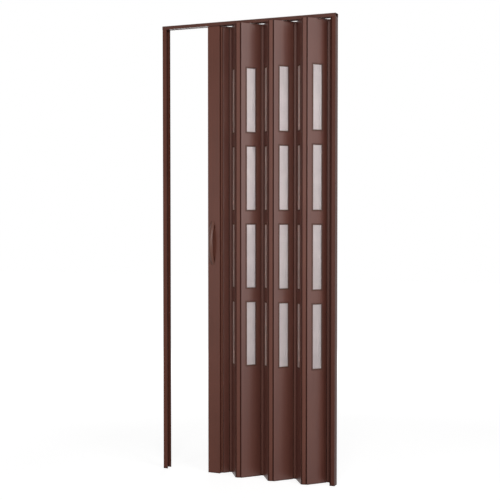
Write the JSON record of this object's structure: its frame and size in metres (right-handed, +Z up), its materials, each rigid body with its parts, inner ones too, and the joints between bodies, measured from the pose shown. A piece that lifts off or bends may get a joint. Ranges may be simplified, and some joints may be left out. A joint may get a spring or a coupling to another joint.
{
  "type": "accordion door",
  "caption": "Folding PVC accordion door with a head track, two channel jambs, a lead post with bow handles, and hinged leaves with frosted windows, shown partly folded.",
  "frame": {"origin": "middle of the fixed jamb's flat wall face at floor level, half way through the frame's depth", "axes": "+X out of the wall that carries the fixed jamb, so the door runs towards -X; the front with the first handle faces -Y; +Z up"},
  "size_m": [0.84, 0.0987, 2.05],
  "materials": {
    "frame_pvc": "satin extruded PVC, dark brown",
    "post_pvc": "satin extruded PVC, dark brown",
    "leaf_pvc": "satin extruded PVC, dark brown",
    "hinge_pvc": "satin extruded PVC with soft edges, dark brown",
    "window_frame_pvc": "satin moulded PVC, dark brown",
    "pane_acrylic": "frosted white twin-wall acrylic",
    "handle_plastic": "satin moulded plastic, dark brown",
    "glider_plastic": "natural moulded nylon"
  },
  "bodies": {
    "root": {"head_track": "frame_pvc", "closing_jamb": "frame_pvc", "fixed_jamb": "frame_pvc", "lead_post": "post_pvc", "handle_front": "handle_plastic", "handle_back": "handle_plastic", "gliders": "glider_plastic", "leaf_1": "leaf_pvc", "leaf_2": "leaf_pvc", "leaf_3": "leaf_pvc", "leaf_4": "leaf_pvc", "leaf_5": "leaf_pvc", "leaf_6": "leaf_pvc", "leaf_7": "leaf_pvc", "leaf_8": "leaf_pvc", "hinge_1": "hinge_pvc", "hinge_2": "hinge_pvc", "hinge_3": "hinge_pvc", "hinge_4": "hinge_pvc", "hinge_5": "hinge_pvc", "hinge_6": "hinge_pvc", "hinge_7": "hinge_pvc", "hinge_8": "hinge_pvc", "hinge_9": "hinge_pvc", "window_frames_2": "window_frame_pvc", "window_frames_3": "window_frame_pvc", "window_frames_4": "window_frame_pvc", "window_frames_5": "window_frame_pvc", "window_frames_6": "window_frame_pvc", "window_frames_7": "window_frame_pvc", "panes_2": "pane_acrylic", "panes_3": "pane_acrylic", "panes_4": "pane_acrylic", "panes_5": "pane_acrylic", "panes_6": "pane_acrylic", "panes_7": "pane_acrylic"}
  },
  "joints": []
}
